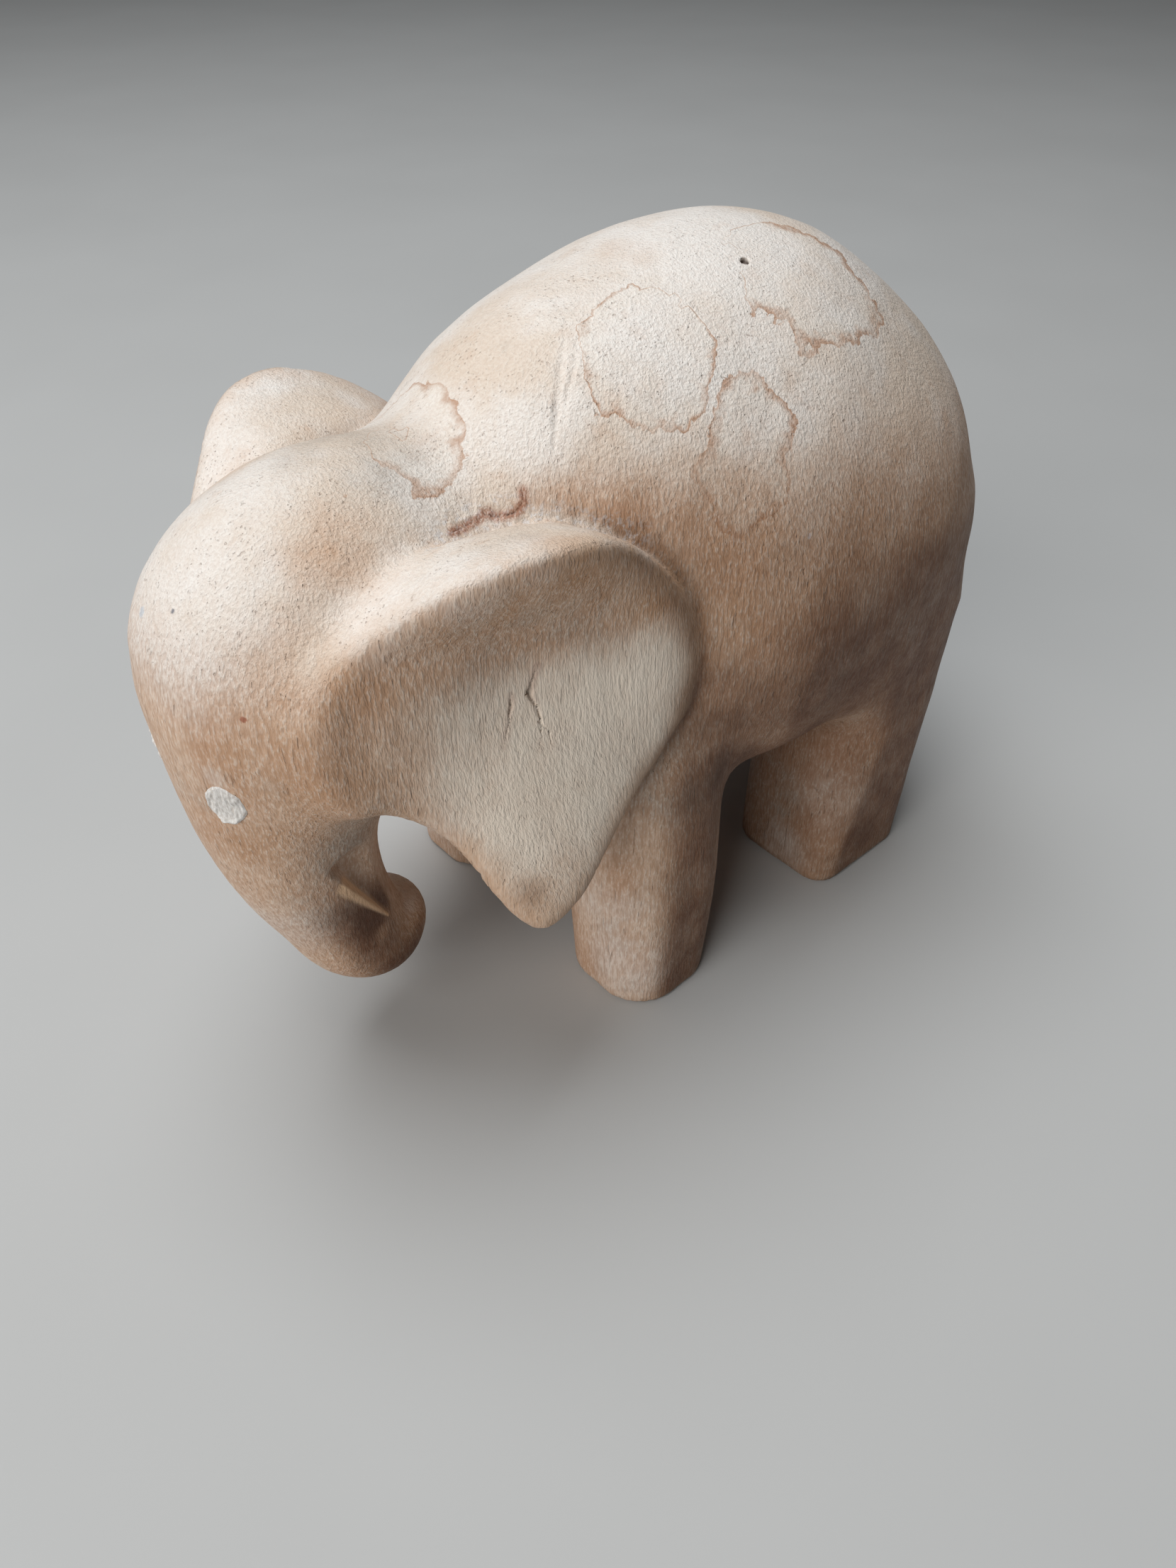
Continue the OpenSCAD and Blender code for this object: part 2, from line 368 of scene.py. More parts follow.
def field(p):
    """The carving as it is now. Below zero in the wood, in millimetres."""
    d = surface(p)
    for P, N in MARKS:
        near = np.flatnonzero(((p > P[:, :3].min(0) - 2.5) & (p < P[:, :3].max(0) + 2.5)).all(1))
        if len(near):
            d[near] = meet(d[near], -incised(p[near], P, N), 0.05)
    q = p - np.array(WORM_HOLE)
    near = np.flatnonzero((q * q).sum(1) < 16)
    if len(near):
        t = q[near] @ np.array(WORM_WAY)
        r = np.linalg.norm(q[near] - t[:, None] * np.array(WORM_WAY), axis=1)
        r = r + 0.1 * noise(p[near], (0.5,) * 3, 5)
        d[near] = meet(d[near], -np.maximum(r - WORM_RADIUS, -t - WORM_DEPTH), 0.1)
    for x, y, z, r in [KNOT] + CHIPS:
        q = p - np.array((x, y, z))
        near = np.flatnonzero((q * q).sum(1) < 6)
        if len(near):
            ragged = r + 0.25 * noise(p[near], (0.5,) * 3, 6)
            d[near] = meet(d[near], ragged - np.linalg.norm(q[near], axis=1), 0.1)
    for side in (-1, 1):
        q = p - np.array(PEG_FROM)
        t = q @ peg_axis(side)
        near = np.flatnonzero((t > 4) & (t < 15) & ((q * q).sum(1) < 225))
        if len(near):
            aside = (q[near] - t[near, None] * peg_axis(side)) / (1, 1, PEG_TALL)
            socket = np.linalg.norm(aside, axis=1) - SOCKET * PEG_RADIUS
            d[near] = meet(d[near], -np.maximum(socket, PEG_SKIN - PEG_DEPTH - t[near]), 0.06)
    return d


# ---------------------------------------------------------------- meshes
COARSE = 4      # the coarse look's step, in fine steps


def skin(f, low, high, step):
    """Quads over the surface where f is zero: a coarse look everywhere, a fine one near the surface."""
    low, high = np.array(low, float), np.array(high, float)
    n = np.ceil((high - low) / step).astype(int)
    m = np.ceil(n / COARSE).astype(int) + 1
    lines = [low[a] + np.arange(m[a]) * step * COARSE for a in range(3)]
    values = f(np.stack(np.meshgrid(*lines, indexing="ij"), -1).reshape(-1, 3)).reshape(m)
    for a in range(3):
        values = np.repeat(values, COARSE, a)
    values = values[:n[0], :n[1], :n[2]].astype(np.float32)
    close = np.argwhere(np.abs(values) < step * COARSE * 2.2)
    values[tuple(close.T)] = f(low + close * step)
    grid = openvdb.FloatGrid()
    grid.copyFromArray(values)
    points, quads = grid.convertToQuads(isovalue=0.0)
    return low + points * step, quads[:, ::-1]


def peg_point(side, t):
    return tuple(np.array(PEG_FROM) + t * peg_axis(side))


# What gets smaller faces: a line of points, how far round it, and how many times the faces are halved
FINE = ([(path, 1.6, 3) for path in CRACKS] + [(path, 2.2, 2) for path in GOUGES + SCRATCHES + NOTCHES]
        + [([WORM_HOLE, WORM_HOLE], 1.8, 3), ([KNOT, KNOT], 1.8, 3), (CREASE, 2.6, 2)]
        + [([LEDGE_WIDE, LEDGE_POINT], 4.5, 2), ([LEDGE_WIDE, LEDGE_POINT], 1.8, 3)]
        + [([peg_point(side, PEG_SKIN - 4), peg_point(side, PEG_SKIN)], 3.0, 2) for side in (-1, 1)]
        + [([chip, chip], 1.6, 2) for chip in CHIPS])


def unique(things):
    return list(dict.fromkeys(things))


def refined(points, quads):
    """The same skin with smaller faces round the marks, each new corner moved onto the surface."""
    bm = bmesh.new()
    corners = [bm.verts.new(v) for v in points]
    for q in quads:
        bm.faces.new([corners[i] for i in q])
    for level in range(3):
        middles = np.array([f.calc_center_median() for f in bm.faces])
        close = np.zeros(len(middles), bool)
        for path, reach, times in FINE:
            if times > level:
                close |= to_path(middles, path) < reach * 0.75 ** level
        edges = unique(e for f, c in zip(bm.faces, close) if c for e in f.edges)
        new = bmesh.ops.subdivide_edges(bm, edges=edges, cuts=1, use_grid_fill=True)
        moved = unique(v for e in new["geom_split"] if isinstance(e, bmesh.types.BMEdge) for v in e.verts)
        P = onto(field, np.array([v.co for v in moved], float), 4)
        for v, co in zip(moved, P):
            v.co = co
    bm.verts.index_update()
    P = np.array([v.co for v in bm.verts], float)
    faces = [[v.index for v in f.verts] for f in bm.faces]
    bm.free()
    return P, faces


def mesh_object(name, points, faces):
    me = bpy.data.meshes.new(name)
    me.from_pydata((np.asarray(points) * MM).tolist(), [], [list(map(int, q)) for q in faces])
    me.update()
    me.polygons.foreach_set("use_smooth", [True] * len(me.polygons))
    ob = bpy.data.objects.new(name, me)
    bpy.context.scene.collection.objects.link(ob)
    return ob


def paint(ob, name, values):
    ob.data.attributes.new(name, "FLOAT", "POINT").data.foreach_set("value", np.asarray(values, np.float32))


FACE_SIZE = 0.78       # millimetres, before the finer faces round the marks
ROOM_LOW, ROOM_HIGH = (-54, -34, -3), (54, 34, 84)      # a box with room for the whole carving
points, quads = skin(field, ROOM_LOW, ROOM_HIGH, FACE_SIZE)
points, faces = refined(onto(field, points), quads)
block = mesh_object("carved_block", points, faces)
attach(block, "root")
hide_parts("carved_elephant")


# ---------------------------------------------------------------- stains, wear, and painted light and shade
# Tide lines left by drying water, as points on the surface
RINGS = [
    [(1.0, -4.0, 76.5), (-3.5, -4, 75.5), (-6, -4.5, 75), (-7.5, -7, 73.5), (-8.5, -8.5, 72.5),
     (-9, -11, 70.5), (-6, -14, 69), (-3, -15.5, 68.5), (0, -15.5, 70), (2, -14, 72), (4, -12.5, 73.5)],
    [(0, -16, 69.5), (-2, -17, 67.5), (-3.5, -17.5, 66), (-3.5, -19, 63.5), (-2.5, -20.5, 61),
     (-0.5, -21.5, 60), (3, -22, 61), (5.5, -21.5, 63), (5.5, -20.5, 65.5), (8, -19.5, 67.5),
     (7.5, -18, 69.5), (6, -16, 71), (2.5, -14.5, 72), (0, -16, 69.5)],
    [(9, -12, 75), (11.5, -14, 74), (11.5, -16.5, 72), (14, -16.5, 72.5), (16, -17.5, 71.5), (19, -17, 71.5),
     (22, -17.5, 71), (24.5, -16, 72), (25.5, -12.5, 74.5), (25.5, -8, 76.5), (21, -3.5, 78.5)],
    [(-26.5, -4, 69), (-25.5, -7, 67.5), (-23.5, -7.5, 66.5), (-21.5, -6.5, 67.5), (-19, -5, 68.5),
     (-17, -2, 70.5), (-16, 1, 71), (-16, 5.5, 70)],
    [(-2, 2, 76.5), (-4.5, 2, 76), (-7.5, 2.5, 75), (-9.5, 3, 74)],
    [(-5, 13, 70), (-3, 17, 66), (2, 20, 64), (8, 20, 66), (11, 17, 70), (10, 13, 73)],
    [(40, -10, 64), (43, -8, 61), (46, -2, 57), (45, 5, 58), (42, 9, 62), (39, 9, 66)]]

# Soft-edged areas (x, distance from the middle, z, reach, strength), the same on both sides
WARM = [(-6, 20.5, 52, 3.5, 0.8), (-6.5, 20.5, 45, 3.5, 0.8), (-35, 9, 66.5, 6, 0.5), (5, 1, 78, 3, 0.45),
        (-31, 19, 62.5, 4, 0.7), (-27, 20.5, 64, 4, 0.9), (-22, 20.8, 64.3, 4.5, 1.0),
        (-16, 21, 62.3, 4.5, 1.0), (-11, 21, 58.5, 4.5, 1.0), (-40, 11, 57, 9, 0.45),
        (-37, 14, 50, 9, 0.9), (-41, 10.5, 48, 7, 0.8), (-45, 7, 40, 6, 0.6), (-27, 23, 32.5, 4, 0.8),
        (-24, 23, 34, 4, 0.5), (-2, 21, 52, 10, 0.5), (5, 24, 45, 12, 0.4), (20, 27, 40, 16, 0.35),
        (36, 22, 52, 15, 0.5), (-4, 22, 40, 9, 0.5), (-1, 21, 30, 10, 0.55), (1, 19, 14, 8, 0.5),
        (-6, 22.5, 3, 5, 0.9), (24, 23, 10, 8, 0.6), (31, 24, 25, 12, 0.5), (-33, 2, 9, 7, 1.0),
        (-30, 4, 13, 7, 1.0), (-36, 6, 22, 4, 0.7), (-46.3, 7.3, 41.5, 2.5, 0.6), (-45, 8, 52, 5, 0.4),
        (-8, 19.5, 45, 4, 0.6), (-30, 16.5, 47, 7, 0.35)]
GREY = [(-25, 16, 58, 9, 0.7), (-18, 17, 58, 8, 0.6), (-31, 14.5, 55, 6, 0.3), (-37, 12, 42, 6, 0.8),
        (-39, 9.5, 36, 6, 0.9), (-41, 8, 29, 6, 0.7), (-11, 20, 13, 6, 0.6), (-9, 21.5, 19, 5, 0.5),
        (20, 13, 12, 9, 0.8), (21, 21, 18, 6, 0.4), (-27, 2, 69.5, 8, 0.5), (18, 27, 44, 12, 0.4),
        (-8, 19, 34, 8, 0.6), (-14, 21, 41, 5, 0.4)]
# Brown marks, and painted shadow on the shoulder and leg behind each ear's rear edge (the first three rows)
BROWN_AND_SHADOW = [(-1, 21, 42, 8, 0.85), (-2, 21, 31, 8, 0.8), (7, 26, 42, 9, 0.45), (-28.5, 22.8, 33.2, 2.2, 0.7),
        (-36, 6.5, 23, 4.5, 0.7), (-38.5, 8, 26, 4.5, 0.5), (-31, 3, 11, 4.5, 0.6)]
# Pale chips and flecks, and painted highlight on the forehead, the ear rims, the top of the back, the trunk's
# lower front and the front of the legs
PALE_AND_LIT = [(21, 23, 14, 7, 0.3), (20.5, 17, 3.5, 5, 0.8), (-19, 20.3, 45, 4, 0.5),
        (-33.5, 17.2, 40.8, 3, 0.5), (-48.2, 6.2, 48.9, 1.6, 0.6), (-30, 19.5, 66.5, 5, 0.7),
        (-36, 15, 64, 5, 0.8), (-46, 3, 61, 9, 0.9), (-44, 3, 25, 7, 0.5), (8, 6, 77, 20, 0.8),
        (30, 4, 72, 12, 0.5), (-12, 20, 7, 8, 0.7), (-12.5, 17, 15, 7, 0.5), (-24, 20, 67.5, 4, 0.5)]


def areas(p, table):
    """How strongly each point lies in a table's areas, from 0 to 1."""
    q = np.abs(p * (0, 1, 0)) + p * (1, 0, 1)
    out = np.zeros(len(p))
    for x, y, z, reach, strength in table:
        away = np.linalg.norm(q - np.array((x, y, z)), axis=1)
        out = np.maximum(out, strength * (1 - ramp(away, 0.25 * reach, 1.15 * reach)))
    return out


def tide(p):
    """Millimetres to the nearest tide line, below zero on its inner side."""
    best = np.full(len(p), 9.0)
    for ring in RINGS:
        middle = np.array(ring).mean(0)
        for a, b in zip(ring[:-1], ring[1:]):
            A, ab = np.array(a, float), np.array(b, float) - np.array(a, float)
            t = np.clip((p - A) @ ab / (ab @ ab), 0, 1)[:, None]
            foot = A + t * ab
            away = np.linalg.norm(p - foot, axis=1)
            inner = np.linalg.norm(p - middle, axis=1) < np.linalg.norm(foot - middle, axis=1)
            best = np.where(away < np.abs(best), np.where(inner, -away, away), best)
    return best


def crack_distance(p):
    """Millimetres to the nearest crack or to the knot."""
    best = np.full(len(p), 9.0)
    for P, _ in MARKS[len(GOUGES):len(GOUGES) + len(CRACKS)]:
        best = np.minimum(best, to_path(p, P))
    return np.minimum(best, np.linalg.norm(p - np.array(KNOT[:3]), axis=1))


outward = slope(surface, points, 0.5)
outward /= np.linalg.norm(outward, axis=1)[:, None]
px, across, pz = points[:, 0], np.abs(points[:, 1]), points[:, 2]
# the worn rim of an ear, from its outline seen from the side
to_rim = outline(px, pz, EAR_EDGE)
rim = ramp(to_rim, -2.6, -0.3) * ramp(to_rim, 2.2, 0.5)
rim *= ramp(px, -29, -24) * ramp(pz, 66, 60) * ramp(across, 14, 17)
warm = areas(points, WARM)
paint(block, "warm", np.maximum(warm, rim))
paint(block, "grey", areas(points, GREY))
paint(block, "brown_and_shadow", areas(points, BROWN_AND_SHADOW))
paint(block, "pale", areas(points, PALE_AND_LIT))
paint(block, "tide", tide(points))
# painted shade inside the cracks, cuts, notches, chips and the worm hole
paint(block, "sunk", ramp(-surface(points), 0.14, 0.42))
paint(block, "crack", crack_distance(points))
paint(block, "crease", 1 - ramp(to_path(points, CREASE), 0.4, 2.4))
# the ledge narrows from its wide end to its point
ledge = np.subtract(LEDGE_POINT, LEDGE_WIDE)
along = np.clip((points - LEDGE_WIDE) @ ledge / (ledge @ ledge), 0, 1)
wedge = to_path(points, [LEDGE_WIDE, LEDGE_POINT]) / (1.15 - 0.9 * along)
paint(block, "ledge", 1 - ramp(wedge, 0.6, 1.3))
# painted shade in hollows and creases, where other wood lies close outside the surface
paint(block, "hollow", ramp(2.0 - surface(points + 2.0 * outward), 0.15, 1.6))
# painted light on the lower outer face of an ear, made paler; painted shade on the sides that face down and
# away from the head, and on the lower rear legs
on_ear = ramp(to_rim, 0.4, -5.0) * (1 - 0.7 * rim)
on_ear *= ramp(across - ear_face(px, pz), -5, -1.5)
shade_facing_away = ramp(-outward[:, 2], -0.6, 0.15) * ramp(outward[:, 0], -0.7, -0.05) * (1 - on_ear)
shade_facing_away *= 0.25 + 0.75 * np.maximum(ramp(px, -20, -8), ramp(pz, 30, 24))
shade_facing_away *= 0.25 + 0.75 * ramp(outward[:, 0], 0.75, 0.3)
# painted shade: the sides facing down and away from the head, and the lower rear legs, are painted darker
paint(block, "side", np.maximum(shade_facing_away, 0.6 * ramp(px, 14, 20) * ramp(pz, 34, 26)))
# painted light: the lower outer face of each ear is painted paler
paint(block, "ear", on_ear * ramp(pz, 57, 50) * (1 - 0.9 * warm))
# painted light from above: surfaces that face up are marked for a paler, cooler cream and fainter grain
paint(block, "top", ramp(outward[:, 2], 0.12, 0.72))
# edges that stand out: worn lighter, and painted highlight where they cross the shaded sides
paint(block, "corner", ramp(1.5 + surface(points - 1.5 * outward), 0.1, 0.9))


# ---------------------------------------------------------------- materials
def linear(v):
    return v / 12.92 if v <= 0.04045 else ((v + 0.055) / 1.055) ** 2.4


def srgb(r, g, b):
    return (linear(r / 255), linear(g / 255), linear(b / 255), 1.0)


class Nodes:
    """Builds a material's node tree. A value is a number, a colour, or another node's output."""

    def __init__(self, name):
        self.material = bpy.data.materials.new(name)
        self.material.use_nodes = True
        self.tree = self.material.node_tree
        self.shader = self.tree.nodes["Principled BSDF"]
        coordinates = self.tree.nodes.new("ShaderNodeTexCoord")
        self.place = self.vector("SCALE", coordinates.outputs["Object"], scale=1 / MM)

    def put(self, value, socket):
        if isinstance(value, bpy.types.NodeSocket):
            self.tree.links.new(value, socket)
        else:
            socket.default_value = value

    def vector(self, operation, a, b=None, scale=None):
        n = self.tree.nodes.new("ShaderNodeVectorMath")
        n.operation = operation
        self.put(a, n.inputs[0])
        if b is not None:
            self.put(b, n.inputs[1])
        if scale is not None:
            n.inputs["Scale"].default_value = scale
        return n.outputs["Value" if operation == "DISTANCE" else "Vector"]

    def sum(self, operation, a, b=0.0, clamp=False):
        n = self.tree.nodes.new("ShaderNodeMath")
        n.operation, n.use_clamp = operation, clamp
        self.put(a, n.inputs[0])
        self.put(b, n.inputs[1])
        return n.outputs[0]

    def noise(self, per_mm, detail=2.0, rough=0.5, stretch=(1, 1, 1), shift=0.0):
        n = self.tree.nodes.new("ShaderNodeTexNoise")
        where = self.vector("MULTIPLY", self.place, stretch)
        self.put(self.vector("ADD", where, (shift, shift * 1.7, -shift)), n.inputs["Vector"])
        n.inputs["Scale"].default_value = per_mm
        n.inputs["Detail"].default_value = detail
        n.inputs["Roughness"].default_value = rough
        return n.outputs["Fac"]

    def span(self, value, a, b, low=0.0, high=1.0):
        n = self.tree.nodes.new("ShaderNodeMapRange")
        n.interpolation_type = "SMOOTHSTEP"
        for socket, v in zip(("Value", "From Min", "From Max", "To Min", "To Max"), (value, a, b, low, high)):
            self.put(v, n.inputs[socket])
        return n.outputs[0]

    def mix(self, share, a, b, kind="MIX"):
        n = self.tree.nodes.new("ShaderNodeMix")
        n.data_type, n.blend_type = "RGBA", kind
        self.put(share, n.inputs[0])
        self.put(a, n.inputs[6])
        self.put(b, n.inputs[7])
        return n.outputs[2]

    def painted(self, name):
        n = self.tree.nodes.new("ShaderNodeAttribute")
        n.attribute_name = name
        return n.outputs["Fac"]

    def times(self, *values):
        out = values[0]
        for v in values[1:]:
            out = self.sum("MULTIPLY", out, v)
        return out

    def spot(self, where, radius):
        away = self.vector("DISTANCE", self.place, where)
        away = self.sum("ADD", away, self.sum("MULTIPLY", self.noise(2.5), radius))
        return self.span(away, radius * 1.1, radius * 1.7, 1.0, 0.0)

    def bump(self, height, millimetres):
        n = self.tree.nodes.new("ShaderNodeBump")
        n.inputs["Strength"].default_value = 1.0
        n.inputs["Distance"].default_value = millimetres * MM
        self.put(height, n.inputs["Height"])
        self.put(n.outputs["Normal"], self.shader.inputs["Normal"])


# The grain runs upright, so its patterns are stretched in Z, and the pores' still more
ALONG = (1, 1, 0.2)
LONG = (1, 1, 0.1)
# Single specks of dirt and paint: where, how large in millimetres, and their colour
SPECKS = [((6.1, -23.8, 58.4), 0.4, (214, 220, 232)), ((-46.4, -1.7, 62.6), 0.28, (96, 98, 112)),
          ((-47.4, 2.5, 60.9), 0.5, (196, 200, 206)), ((-45.9, -9.5, 55.9), 0.3, (160, 92, 66)),
          ((7.0, -18.2, 69.2), 0.24, (120, 122, 132)), ((-35.1, -7.1, 66.9), 0.3, (140, 132, 126)),
          ((-31.4, -5.2, 68.4), 0.35, (190, 140, 104)), ((-13.6, -20.6, 44.6), 0.2, (120, 112, 108))]


def carved_wood():
    m = Nodes("carved_pale_wood")
    fibre = m.noise(3.5, 2.0, 0.6, ALONG)
    fine = m.noise(6.0, 1.0, 0.5, (1, 1, 0.35), 31.0)
    tone = m.noise(0.11, 3.0, 0.55, (1, 1, 0.6), 7.0)
    cloud = m.noise(0.3, 4.0, 0.6, (1, 1, 0.7), 53.0)
    smudge = m.noise(0.2, 4.0, 0.62, (1, 1, 1), 91.0)
    colour = m.mix(m.span(tone, 0.36, 0.64), srgb(231, 223, 215), srgb(220, 204, 188))
    # painted light and shade: surfaces that face up get the paler cream, the others a darker tan
    shaded_tan = m.mix(m.span(tone, 0.4, 0.6), srgb(222, 190, 164), srgb(208, 168, 138))
    colour = m.mix(m.painted("top"), shaded_tan, colour)
    warm = m.sum("ADD", m.times(m.painted("warm"), m.span(cloud, 0.3, 0.6, 0.35, 1.0)),
                 m.span(cloud, 0.56, 0.76, 0.0, 0.3), clamp=True)
    colour = m.mix(m.times(warm, 0.9), colour, srgb(194, 149, 112))
    # painted shade: the sides facing down and away from the head are mixed towards a darker brown
    colour = m.mix(m.times(m.painted("side"), m.span(cloud, 0.25, 0.65, 0.5, 0.85)), colour,
                   srgb(176, 138, 108))
    # painted light: the lower outer face of each ear is mixed towards a paler cream
    colour = m.mix(m.times(m.painted("ear"), m.span(cloud, 0.3, 0.65, 1.0, 0.7)), colour,
                   srgb(241, 229, 214))
    grey = m.sum("ADD", m.times(m.painted("grey"), m.span(smudge, 0.35, 0.62, 0.25, 1.0)),
                 m.span(smudge, 0.58, 0.72, 0.0, 0.3), clamp=True)
    colour = m.mix(m.times(grey, 0.75), colour, srgb(166, 156, 145))
    # pale chips and flecks, and painted highlight on the forehead, ear rims, back and the fronts of the trunk
    # and legs
    colour = m.mix(m.times(m.painted("pale"), m.span(smudge, 0.3, 0.6, 0.5, 1.0), 0.7), colour,
                   srgb(239, 234, 229))
    # tide lines: crisp on the outside, fading inwards, wavering along their length
    line = m.sum("ADD", m.painted("tide"), m.span(m.noise(0.45, 2.0, 0.5, shift=11.0), 0.25, 0.75, -0.7, 0.7))
    line = m.sum("ADD", line, m.span(m.noise(1.6, 2.0, 0.6, shift=29.0), 0.2, 0.8, -0.3, 0.3))
    edge = m.times(m.span(line, 0.05, 0.3, 1.0, 0.0), m.span(line, -1.4, 0.1),
                   m.span(cloud, 0.35, 0.6, 0.5, 1.0))
    washed = m.times(m.span(line, -3.0, -0.9, 0.0, 0.2), m.span(line, 0.0, 0.2, 1.0, 0.0))
    colour = m.mix(washed, colour, srgb(238, 228, 214))
    colour = m.mix(m.times(edge, 0.8), colour, srgb(172, 122, 86))
    # the grain itself: light and dark strokes, and short open pores
    strokes = m.span(fibre, 0.34, 0.66)
    # the grain is fainter where the surface is painted lighter from above
    calm = m.span(m.painted("top"), 0.2, 1.0, 1.0, 0.35)
    colour = m.mix(m.times(m.sum("SUBTRACT", 1.0, strokes), calm, 0.4), colour, srgb(166, 122, 88))
    colour = m.mix(m.times(strokes, m.span(fine, 0.4, 0.7), calm, 0.38), colour, srgb(242, 236, 226))
    pores = m.times(m.span(m.noise(3.6, 1.0, 0.5, LONG, 17.0), 0.66, 0.74),
                    m.span(cloud, 0.42, 0.6, 0.15, 1.0))
    colour = m.mix(m.times(pores, 0.3), colour, srgb(134, 98, 70))
    # damage and dirt, with painted shadow behind the ears and painted shade in hollows and cuts
    # brown marks, and painted shadow on the shoulder and leg behind each ear
    colour = m.mix(m.times(m.painted("brown_and_shadow"), m.span(cloud, 0.3, 0.6, 0.4, 1.0), 0.7), colour,
                   srgb(112, 80, 60))
    # painted shade: darker in the hollows and creases
    hollow_shade = m.times(m.painted("hollow"), m.span(fine, 0.3, 0.6, 0.3, 1.0))
    colour = m.mix(m.times(hollow_shade, 0.35), colour, srgb(134, 112, 94))
    crust = m.times(m.painted("crease"), m.span(m.noise(1.6, 3.0, 0.65, shift=23.0), 0.5, 0.62))
    colour = m.mix(m.times(crust, 0.55), colour, srgb(214, 213, 214))
    rust = m.times(m.painted("crease"), m.span(m.noise(1.3, 3.0, 0.65, shift=67.0), 0.58, 0.68))
    colour = m.mix(m.times(rust, 0.35), colour, srgb(166, 118, 92))
    halo = m.span(m.painted("crack"), 0.15, 0.75, 0.8, 0.0)
    colour = m.mix(m.times(halo, m.span(fine, 0.25, 0.6, 0.4, 1.0)), colour, srgb(152, 96, 68))
    # painted shade: very dark inside the cracks, cuts and the worm hole
    colour = m.mix(m.times(m.painted("sunk"), 0.8), colour, srgb(74, 50, 38))
    # painted light again on the lower outer face of each ear
    colour = m.mix(m.times(m.painted("ear"), m.span(cloud, 0.3, 0.65, 0.95, 0.7)), colour,
                   srgb(247, 233, 216))
    # painted shade again: the sides facing down and away from the head are multiplied darker
    colour = m.mix(m.times(m.painted("side"), m.span(smudge, 0.35, 0.65, 1.0, 0.75)), colour,
                   srgb(153, 128, 110), "MULTIPLY")
    # convex edges lighter tan: wear, and painted highlight over the painted shade of the sides
    colour = m.mix(m.times(m.painted("corner"), m.span(cloud, 0.3, 0.6), 0.4), colour, srgb(206, 172, 142))
    colour = m.mix(m.times(m.painted("ledge"), 0.9), colour, srgb(232, 194, 156))
    for where, radius, tint in SPECKS:
        colour = m.mix(m.times(m.spot(where, radius), 0.8), colour, srgb(*tint))
    m.put(colour, m.shader.inputs["Base Color"])
    m.put(m.span(fibre, 0.3, 0.7, 0.66, 0.5), m.shader.inputs["Roughness"])
    m.shader.inputs["Specular IOR Level"].default_value = 0.4
    height = m.sum("ADD", fibre, m.times(fine, 0.3))
    height = m.sum("SUBTRACT", height, m.times(pores, 0.5))
    height = m.sum("ADD", height, m.times(m.noise(0.8, 2.0, 0.5, (1, 1, 0.5), 5.0), 0.8))
    m.bump(height, 0.15)
    return m.material


block.data.materials.append(carved_wood())


# ---------------------------------------------------------------- tusk stubs
def peg_fibre():
    m = Nodes("broken_pale_peg")
    fibre = m.noise(5.0, 2.0, 0.6, (1, 1, 0.35))
    blotch = m.noise(1.1, 3.0, 0.6, shift=41.0)
    colour = m.mix(m.span(fibre, 0.35, 0.65), srgb(214, 208, 202), srgb(243, 240, 236))
    colour = m.mix(m.span(blotch, 0.56, 0.72, 0.0, 0.5), colour, srgb(196, 176, 154))
    m.put(colour, m.shader.inputs["Base Color"])
    m.put(m.span(fibre, 0.3, 0.7, 0.8, 0.6), m.shader.inputs["Roughness"])
    m.bump(fibre, 0.06)
    return m.material


PEG_WOOD = peg_fibre()
ROUND, CAP_RINGS, SHANK_RINGS = 96, 26, 8


def tusk_stub(side, seed):
    """A peg broken off flush: a round shank in its socket and a torn, fibrous face with a curled lip."""
    axis = peg_axis(side)
    across, up = np.array([axis[1], -axis[0], 0]) * side, np.array([0, 0, PEG_TALL])
    turn = np.arange(ROUND) * 2 * math.pi / ROUND
    ring = np.stack([np.cos(turn), np.sin(turn)], 1)
    start = np.array(PEG_FROM)

    def at(r, t):
        return start + (r * ring[:, :1]) * across + (r * ring[:, 1:]) * up + np.asarray(t)[..., None] * axis

    points = []
    for i in range(SHANK_RINGS):
        deep = PEG_SKIN - PEG_DEPTH + 0.1 + (PEG_DEPTH - 0.6) * i / (SHANK_RINGS - 1)
        points.append(at(PEG_RADIUS * SHANK, np.full(ROUND, deep)))
    for i in range(CAP_RINGS):
        share = math.sqrt(1 - i / CAP_RINGS)
        wobble = 0.05 * noise(np.column_stack([ring * 3, 0 * turn]), (0.9,) * 3, seed)
        r = PEG_RADIUS * (CAP + wobble[:, None]) * share
        flat = at(r, np.zeros(ROUND))
        t = np.full(ROUND, PEG_SKIN)
        for _ in range(6):
            t = t - surface(flat + t[:, None] * axis)
        q = np.column_stack([r[:, 0] * ring[:, 0], r[:, 0] * ring[:, 1], 0 * turn])
        torn = 0.13 * noise(q, (0.28, 0.9, 1), seed + 1) + 0.08 * noise(q, (0.16, 0.4, 1), seed + 2)
        lip = 0.34 * ramp(-ring[:, 1], 0.55, 0.98) * ramp(np.full(ROUND, share), 0.72, 0.97)
        edge = 0.30 * (1 - ramp(np.full(ROUND, share), 0.9, 1.0)) + 0.04
        points.append(flat + (t + edge * (0.55 + torn / 0.3) + lip)[:, None] * axis)
    points = np.concatenate(points)
    rings = SHANK_RINGS + CAP_RINGS
    corners = ((0, 0), (0, 1), (1, 1), (1, 0))
    faces = [tuple((i + a) * ROUND + (j + b) % ROUND for a, b in corners)
             for i in range(rings - 1) for j in range(ROUND)]
    faces.append(tuple(range(ROUND))[::-1])
    faces.append(tuple((rings - 1) * ROUND + j for j in range(ROUND)))
    if side > 0:
        faces = [f[::-1] for f in faces]
    name = "tusk_stub_left" if side < 0 else "tusk_stub_right"
    ob = mesh_object(name + "_broken", points, faces)
    ob.data.materials.append(PEG_WOOD)
    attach(ob, "root")
    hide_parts(name)


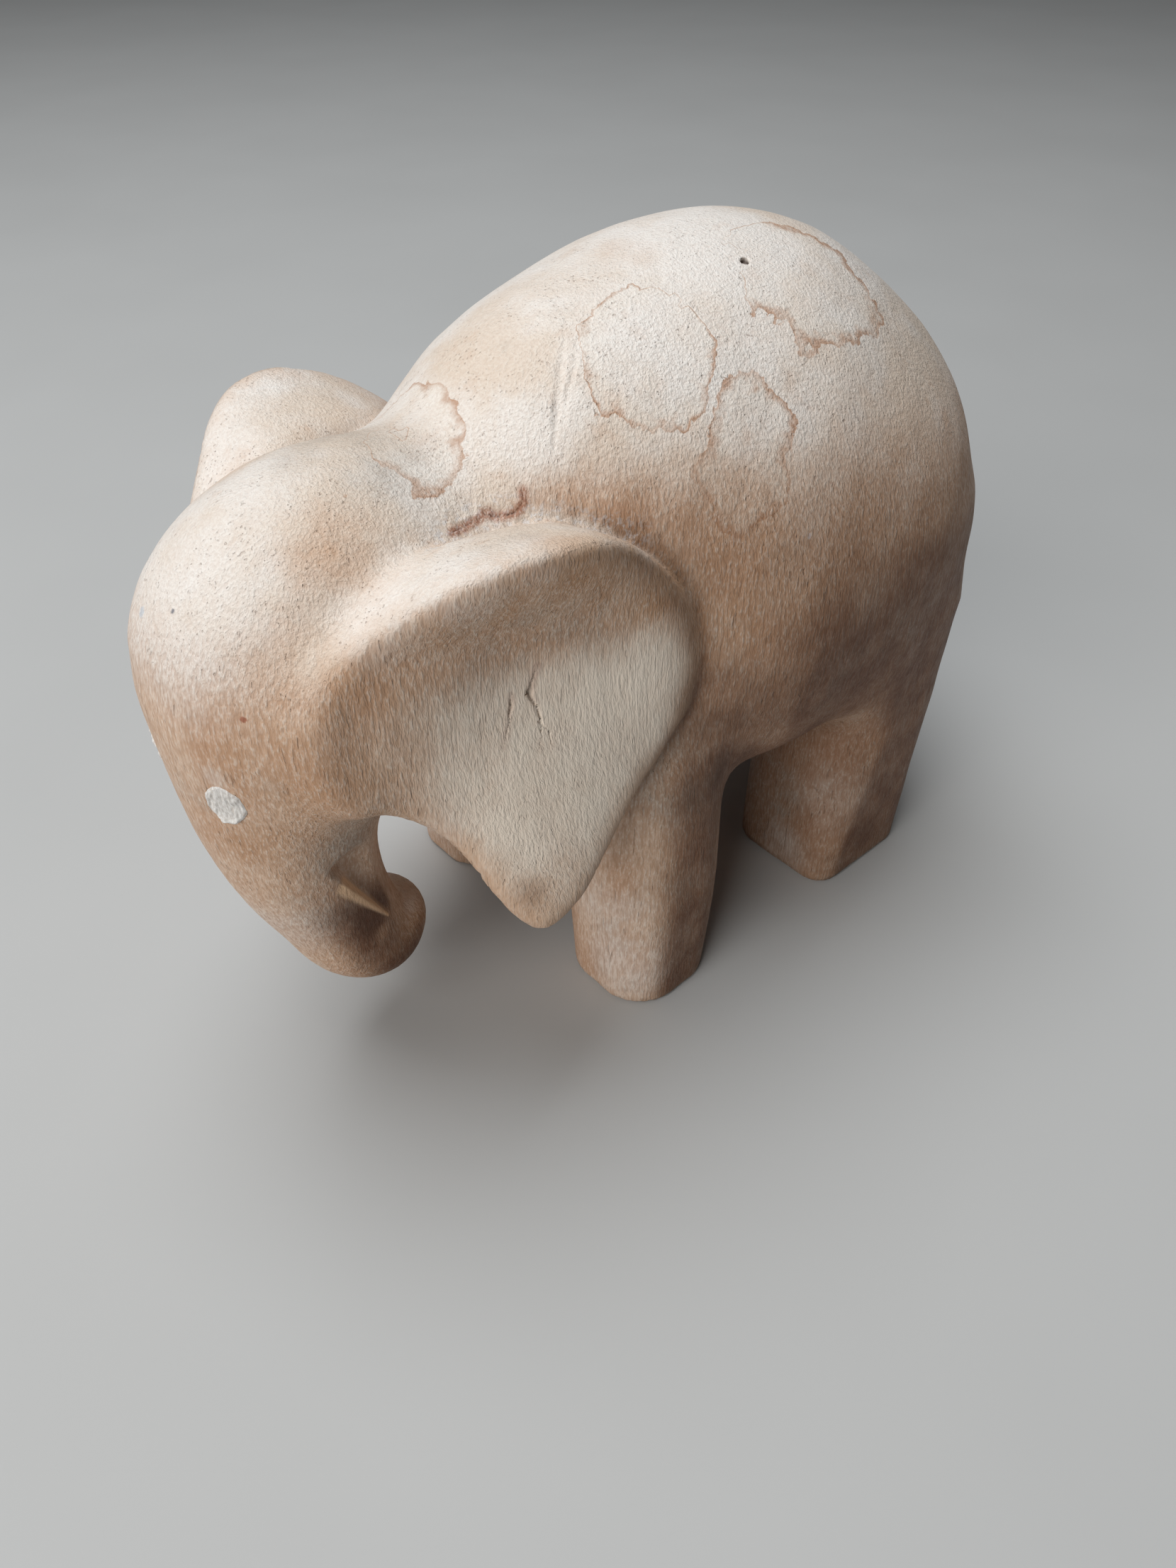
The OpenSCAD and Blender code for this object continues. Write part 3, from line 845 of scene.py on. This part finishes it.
tusk_stub(-1, 21)
tusk_stub(1, 34)


# ---------------------------------------------------------------- floor, light, camera
FLOOR_SIZE = 3.0
LIGHT_AIM = Vector((0, 0, 0.04))
FLOOR_DARK, FLOOR_LIGHT = (0.47, 0.468, 0.46, 1), (0.51, 0.508, 0.50, 1)


def floor():
    bpy.ops.mesh.primitive_plane_add(size=FLOOR_SIZE, location=(0, 0, 0))
    ob = bpy.context.object
    ob.name = "floor"
    m = Nodes("studio_floor")
    m.put(m.mix(m.noise(0.02, 2.0), FLOOR_DARK, FLOOR_LIGHT), m.shader.inputs["Base Color"])
    m.shader.inputs["Roughness"].default_value = 0.9
    ob.data.materials.append(m.material)


def soft_light(name, where, size, power, colour):
    light = bpy.data.lights.new(name, "AREA")
    light.size, light.energy, light.color = size, power, colour
    ob = bpy.data.objects.new(name, light)
    ob.location = where
    ob.rotation_euler = (LIGHT_AIM - Vector(where)).to_track_quat("-Z", "Y").to_euler()
    bpy.context.scene.collection.objects.link(ob)


floor()
soft_light("overhead", (-0.06, 0.15, 0.72), 0.5, 4.4, (0.94, 0.975, 1.0))
soft_light("front", (-0.60, -0.15, 0.42), 0.45, 3.0, (1.0, 0.99, 0.97))
world = bpy.data.worlds.new("world")
bpy.context.scene.world = world
world.use_nodes = True
background = world.node_tree.nodes["Background"]
background.inputs["Color"].default_value = (0.95, 0.97, 1.0, 1)
background.inputs["Strength"].default_value = 0.04
bpy.context.scene.view_settings.view_transform = "Standard"

EYE = Vector((-74.89, -82.24, 115.0)) * MM
TURN, TILT = math.radians(42.3), math.radians(42.0)
cam = bpy.data.cameras.new("camera")
cam.lens, cam.sensor_width, cam.clip_start = 27.03, 36, 0.005
camera = bpy.data.objects.new("camera", cam)
camera.location = EYE
looking = Vector((math.sin(TURN) * math.cos(TILT), math.cos(TURN) * math.cos(TILT), -math.sin(TILT)))
camera.rotation_euler = looking.to_track_quat("-Z", "Y").to_euler()
bpy.context.scene.collection.objects.link(camera)
bpy.context.scene.camera = camera
